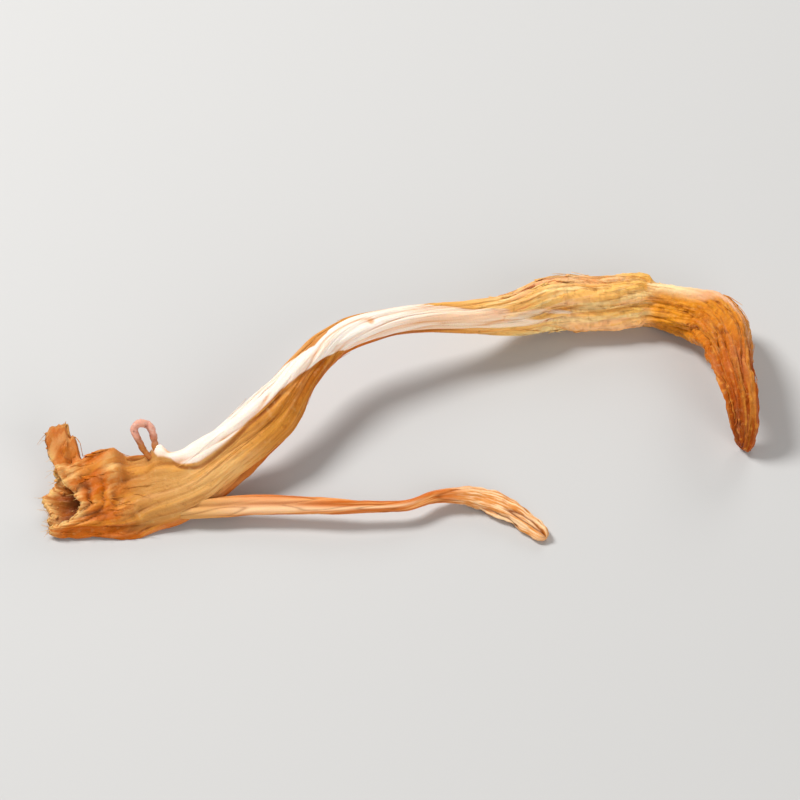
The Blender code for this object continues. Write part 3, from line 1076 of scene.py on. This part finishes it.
def makeStalkFinish(group):
    material, tree = newMaterial("driedStalkFlesh")
    masks = maskValues(tree, maskNames)
    along = masks["along"]
    streaks, fine = fibres(tree, group, 1.6)
    broad, hair = fibres(tree, group, 0.75)
    blotch, mottle = patternValue(tree, "blotch"), patternValue(tree, "mottle")
    onClub = times(mapRange(along, 0.47, 0.55), mapRange(along, 0.72, 0.69))

    colour = bodyColour(masks, blotch)
    colour = fibreColour(masks, colour, onClub, streaks, broad, hair)
    colour = grooveColour(masks, colour, onClub, fine, mottle)
    colour = edgeColour(masks, colour, streaks, fine)
    whiteShare = mapRange(plus(masks["ivory"], times(streaks, 0.5)), 0.5, 0.95)
    colour = tint(whiteShare, colour, ivoryColour(masks, broad))
    # painted shade in the hollow, and a darker tone on the standing ear
    colour = tint(times(masks["hollowShadeAndEarTone"], 0.8), colour, "grooveRed")

    # the white strip is glossier, and the club has small pits
    rough = maths("SUBTRACT", mapRange(blotch, 0.3, 0.7, 0.42, 0.58), times(whiteShare, 0.18))
    sunk = times(patternValue(tree, "pits"), times(mapRange(along, 0.5, 0.75), -1.3))
    height = plus(plus(fine, streaks), plus(sunk, patternValue(tree, "grain")))
    setShader(tree, colour, rough, height, 0.6, 0.00007)
    return material


def makeStrandFinish(group):
    material, tree = newMaterial("driedStrandFlesh")
    masks = maskValues(tree, ("crease", "shrivel", "paleAndHighlight", "blush", "root"))
    streaks, fine = fibres(tree, group, 2.4)
    # painted shade in the creases, and a painted highlight along the pale line
    shrivelled = tinted(
        "shrivelTan",
        (mapRange(plus(streaks, fine), 0.88, 1.15), "shrivelCream"),
        (mapRange(masks["crease"], 0.35, 0.9, 0.0, 0.9), "grooveBrown"),
    )
    colour = tinted(
        "strandOrange",
        (mapRange(streaks, 0.45, 0.7), "strandTan"),
        (times(masks["blush"], 0.7), "blush"),
        (times(masks["paleAndHighlight"], 0.9), "shrivelCream"),
        (times(masks["root"], 0.85), "panelPale"),
        (mapRange(masks["crease"], 0.4, 1.0, 0.0, 0.5), "grooveBrown"),
        (masks["shrivel"], shrivelled),
    )
    height = plus(plus(fine, streaks), patternValue(tree, "grain"))
    setShader(tree, colour, mapRange(fine, 0.3, 0.7, 0.34, 0.5), height, 0.5, 0.00005)
    return material


def makeCurlFinish():
    material, tree = newMaterial("pinkThreadFlesh")
    cloud, grain = patternValue(tree, "cloud"), patternValue(tree, "threadGrain")
    pink = tint(mapRange(cloud, 0.6, 0.35, 0.0, 0.8), "pink", "pinkShade")
    pink = tint(mapRange(grain, 0.5, 0.8, 0.0, 0.3), pink, "ivory")
    # brown lower down: partly its own tone, partly painted shade
    split = addNode(tree, "SeparateXYZ", {0: addNode(tree, "TexCoord").outputs["Object"]})
    rising = mapRange(split.outputs["Z"], curl["brownBelow"] * mm, curl["pinkAbove"] * mm)
    colour = tint(rising, "threadBrown", pink)
    setShader(tree, colour, mapRange(grain, 0.3, 0.7, 0.4, 0.55), grain, 0.5, 0.00005)
    return material


# Floor, light and camera, in metres and degrees
studio = {
    "frameWidth": 0.0575,      # what the picture's width covers at the object
    "lens": 200,
    "sensor": 36,
    "clipStart": 0.01,
    "elevation": 45,
    "aim": (0.0, 0.0, 0.0018),
    "floorSize": 3,
    "floorColour": (0.56, 0.555, 0.545, 1),
    "floorRoughness": 0.7,
    "roomColour": (1.0, 0.98, 0.95, 1),
    "roomStrength": 0.28,
    "lights": [
        # name, place, size, power
        ("keySoftbox", (-0.16, 0.09, 0.24), 0.11, 0.88),
        ("fillSoftbox", (0.12, -0.24, 0.12), 0.22, 0.44),
        ("backSoftbox", (0.10, 0.22, 0.12), 0.12, 0.16),
    ],
}


def makeFloor():
    floor = startFrom(bpy.ops.mesh.primitive_plane_add, size=studio["floorSize"])
    floor.name = "paleFloor"
    material, tree = newMaterial("paleFloorPaint")
    inputs = {"Base Color": studio["floorColour"], "Roughness": studio["floorRoughness"]}
    feed(tree.nodes["Principled BSDF"], inputs)
    floor.data.materials.append(material)


def makeLights():
    for name, place, size, power in studio["lights"]:
        bpy.ops.object.light_add(type="AREA", location=place)
        light = bpy.context.object
        light.name = name
        light.data.shape = "DISK"
        light.data.size = size
        light.data.energy = power
        light.rotation_euler = (-Vector(place)).to_track_quat("-Z", "Y").to_euler()
    world = bpy.data.worlds.new("softRoom")
    world.use_nodes = True
    inputs = {"Color": studio["roomColour"], "Strength": studio["roomStrength"]}
    feed(world.node_tree.nodes["Background"], inputs)
    bpy.context.scene.world = world


def makeCamera():
    elevation = math.radians(studio["elevation"])
    back = Vector((0, -math.cos(elevation), math.sin(elevation)))
    distance = studio["frameWidth"] * studio["lens"] / studio["sensor"]
    bpy.ops.object.camera_add(location=Vector(studio["aim"]) + back * distance)
    camera = bpy.context.object
    camera.data.lens = studio["lens"]
    camera.data.sensor_width = studio["sensor"]
    camera.data.clip_start = studio["clipStart"]
    camera.rotation_euler = (-back).to_track_quat("-Z", "Y").to_euler()
    bpy.context.scene.camera = camera


makeCamera()
makeLights()
makeFloor()
bpy.context.scene.view_settings.view_transform = "Standard"
fibreGroup = makeFibreGroup()

report("growing the stalk")
stalkSkin, skinGrid = growStalk()
stalkFinish = makeStalkFinish(fibreGroup)
stalkSkin.data.materials.append(stalkFinish)
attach(stalkSkin, "root")
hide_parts("main_stalk")

report("fraying it")
stalkTree = skinTree(stalkSkin)
for piece, cream, cleared in (
    (growSlivers(skinGrid), 0.0, ("crease",)),
    (growShreds(skinGrid), 0.0, ("crease",)),
    (growRimThreads(skinGrid), 0.9, ("crease", "hollowShadeAndEarTone")),
    (growRimCrumbs(skinGrid), 0.6, ("crease", "hollowShadeAndEarTone")),
):
    borrowMasks(piece, stalkSkin, stalkTree, cream, cleared)
    piece.data.materials.append(stalkFinish)
    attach(piece, "root")

report("curling the thread")
curledThread = growCurl()
curledThread.data.materials.append(makeCurlFinish())
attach(curledThread, "root")

report("growing the side strand")
strandSkin = growStrand()
strandSkin.data.materials.append(makeStrandFinish(fibreGroup))
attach(strandSkin, "root")
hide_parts("side_strand")

bpy.context.view_layer.update()
